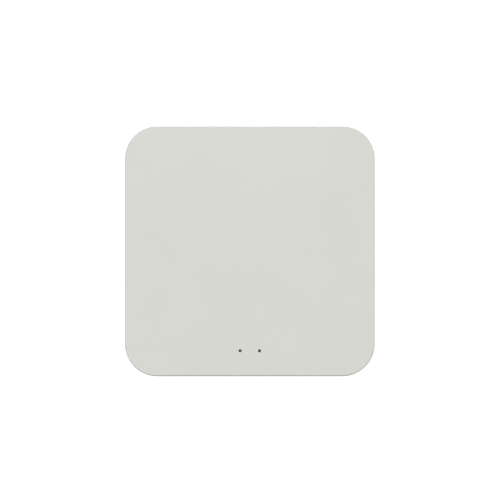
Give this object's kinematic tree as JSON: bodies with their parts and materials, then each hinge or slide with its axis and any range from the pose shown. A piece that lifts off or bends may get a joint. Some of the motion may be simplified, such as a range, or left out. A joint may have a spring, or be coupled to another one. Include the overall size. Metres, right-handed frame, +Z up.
{
  "type": "smart home hub",
  "caption": "Flat rounded-square radio hub with pinhole status lights, network and power sockets, a sprung reset button, rubber feet and wall-hanging keyholes.",
  "frame": {"origin": "middle of the surface that the four feet stand on", "axes": "+Z up through the flat top, +Y towards the port panel at the back, -Y towards the lights at the front"},
  "size_m": [0.095, 0.095, 0.0225],
  "materials": {
    "shell_plastic": "fine moulded grain, satin-matt, warm light grey",
    "panel_plastic": "fine matt moulded texture, mid grey",
    "foot_rubber": "soft matt rubber",
    "label_film": "smooth matt printed-label film, left blank",
    "zinc_steel": "zinc-plated screw steel",
    "circuit_board": "green solder mask over glass-fibre board",
    "module_board": "blue solder mask",
    "tinned_steel": "thin tin-plated sheet",
    "dome_steel": "spring steel",
    "contact_gold": "gold-flashed contact metal",
    "black_plastic": "black moulded plastic",
    "chip_plastic": "black moulded chip package",
    "light_guide_clear": "clear moulded plastic",
    "led_body": "cream chip-light body",
    "thermal_silicone": "soft blue-grey silicone",
    "ferrite": "dark pressed ferrite",
    "capacitor_can": "drawn aluminium can on a black base",
    "capacitor_ceramic": "fired tan ceramic with tinned ends",
    "resistor_ceramic": "black-glazed ceramic with tinned ends",
    "antenna_film": "black film over copper",
    "lead_jacket": "thin black cable jacket",
    "socket_ceramic": "cream insulator"
  },
  "bodies": {
    "hub": {"top_cover": "shell_plastic", "bottom_case": "shell_plastic", "port_panel": "panel_plastic", "rubber_feet": "foot_rubber", "rating_label": "label_film", "case_screws": "zinc_steel", "board_screws": "zinc_steel", "main_board": "circuit_board", "light_guide": "light_guide_clear", "light_shroud": "black_plastic", "status_leds": "led_body", "reset_switch_base": "black_plastic", "reset_switch_frame": "tinned_steel", "reset_switch_dome": "dome_steel", "ethernet_shield": "tinned_steel", "ethernet_housing": "black_plastic", "ethernet_contacts": "contact_gold", "ethernet_transformer": "chip_plastic", "usb_shell": "tinned_steel", "usb_tongue": "black_plastic", "usb_contacts": "contact_gold", "processor": "chip_plastic", "memory_chip": "chip_plastic", "flash_chip": "chip_plastic", "thermal_pad": "thermal_silicone", "shield_can": "tinned_steel", "wireless_module_board": "module_board", "wireless_module_can": "tinned_steel", "mesh_module_board": "module_board", "mesh_module_can": "tinned_steel", "wireless_antenna": "antenna_film", "mesh_antenna": "antenna_film", "wireless_antenna_lead": "lead_jacket", "mesh_antenna_lead": "lead_jacket", "antenna_plugs": "contact_gold", "antenna_sockets": "socket_ceramic", "voltage_regulator": "chip_plastic", "power_inductor": "ferrite", "bulk_capacitors": "capacitor_can", "crystals": "tinned_steel", "ceramic_capacitors": "capacitor_ceramic", "chip_resistors": "resistor_ceramic"},
    "reset_button": {"reset_button": "shell_plastic"},
    "reset_plunger": {"reset_switch_plunger": "black_plastic"}
  },
  "joints": [
    {"name": "reset_press", "type": "slide", "parent": "hub", "child": "reset_button", "axis": [0, -1, 0], "range_m": [0, 0.0005], "stiffness_N_per_m": 2000},
    {"name": "reset_plunger_slide", "type": "slide", "parent": "hub", "child": "reset_plunger", "axis": [0, -1, 0], "range_m": [0, 0.0005], "deforming": ["reset_switch_dome"]}
  ],
  "couplings": [
    {"joint": "reset_plunger_slide", "follows": "reset_press", "ratio": 1}
  ]
}
